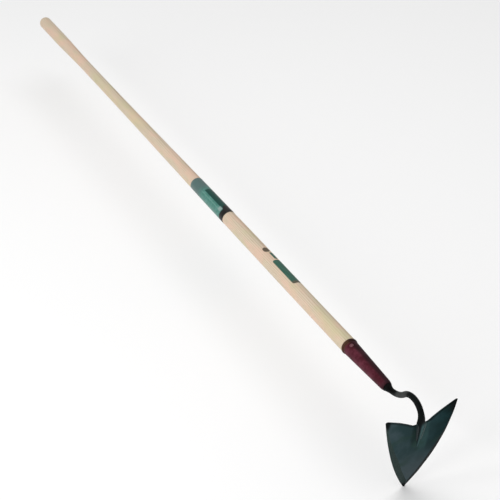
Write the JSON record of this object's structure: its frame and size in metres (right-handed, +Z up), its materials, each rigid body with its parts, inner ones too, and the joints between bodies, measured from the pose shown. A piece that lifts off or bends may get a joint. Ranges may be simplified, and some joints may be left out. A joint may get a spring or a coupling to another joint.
{
  "type": "garden hoe",
  "caption": "Long-handled hoe with a pointed, two-eared, dished blade on a gooseneck, for opening and covering seed furrows.",
  "frame": {"origin": "centre of the straight grip near the butt, on the handle's axis", "axes": "+X along the handle from the grip to the head, +Z up with the blade's point down, +Y towards one ear"},
  "size_m": [1.4671, 0.1176, 0.1726],
  "materials": {
    "ash_wood": "clear satin lacquer over straight ash grain",
    "ferrule_paint": "satin maroon enamel with a worn dark rim",
    "rivet_steel": "painted over, steel showing on the crown",
    "black_steel": "dipped black, semi-gloss over forge scale",
    "blade_steel": "dark slate enamel, satin, rubbed along the edges",
    "weld_steel": "rippled weld under the same dark enamel",
    "label_film": "printed glossy film, teal green with a black end",
    "stripe_ink": "thin printed film, green with brown ends"
  },
  "bodies": {
    "root": {"handle": "ash_wood", "ferrule": "ferrule_paint", "ferrule_pin": "rivet_steel", "shank": "black_steel", "blade": "blade_steel", "weld_beads": "weld_steel", "label_wrap": "label_film", "stripe_decal": "stripe_ink"}
  },
  "joints": []
}
